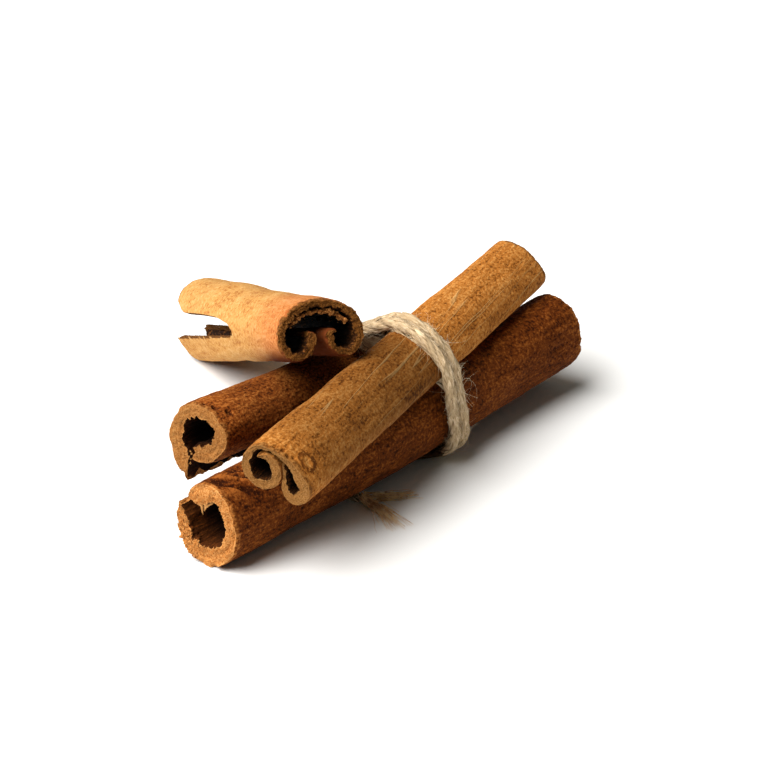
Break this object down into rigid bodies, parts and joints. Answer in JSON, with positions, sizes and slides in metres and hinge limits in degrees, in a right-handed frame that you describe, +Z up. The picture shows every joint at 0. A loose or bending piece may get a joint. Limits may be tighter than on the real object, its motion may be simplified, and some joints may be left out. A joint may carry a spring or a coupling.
{
  "type": "stack of cinnamon sticks",
  "caption": "Stack of rolled cinnamon sticks: a bundle tied with plied twine whose end frays on the floor, and a loose, split stick leaning across it.",
  "frame": {"origin": "centre of the stack's box in plan, on the floor that it lies on", "axes": "+X along the front stick, from the cut end that is nearest the viewer to its far end; +Y from the front stick towards the loose stick's far end; +Z up"},
  "size_m": [0.0792, 0.0704, 0.0309],
  "materials": {
    "dark_bark": "dry, rough reddish-brown bark",
    "brown_bark": "dry, rough brown bark",
    "golden_bark": "dry, scraped golden-brown bark with pale veins",
    "pale_bark": "dry, finely grained orange-tan bark",
    "inner_bark": "crumbly dark-brown inner bark",
    "twine": "hairy plied natural twine",
    "frayed_twine": "loose fibres of natural twine"
  },
  "bodies": {
    "root": {"front_stick": "dark_bark", "back_stick": "brown_bark", "top_stick": "golden_bark", "loose_stick": "pale_bark", "loose_stick_inner_layer": "inner_bark", "twine_tie": "twine", "twine_end_right": "frayed_twine", "twine_end_front": "frayed_twine"}
  },
  "joints": []
}
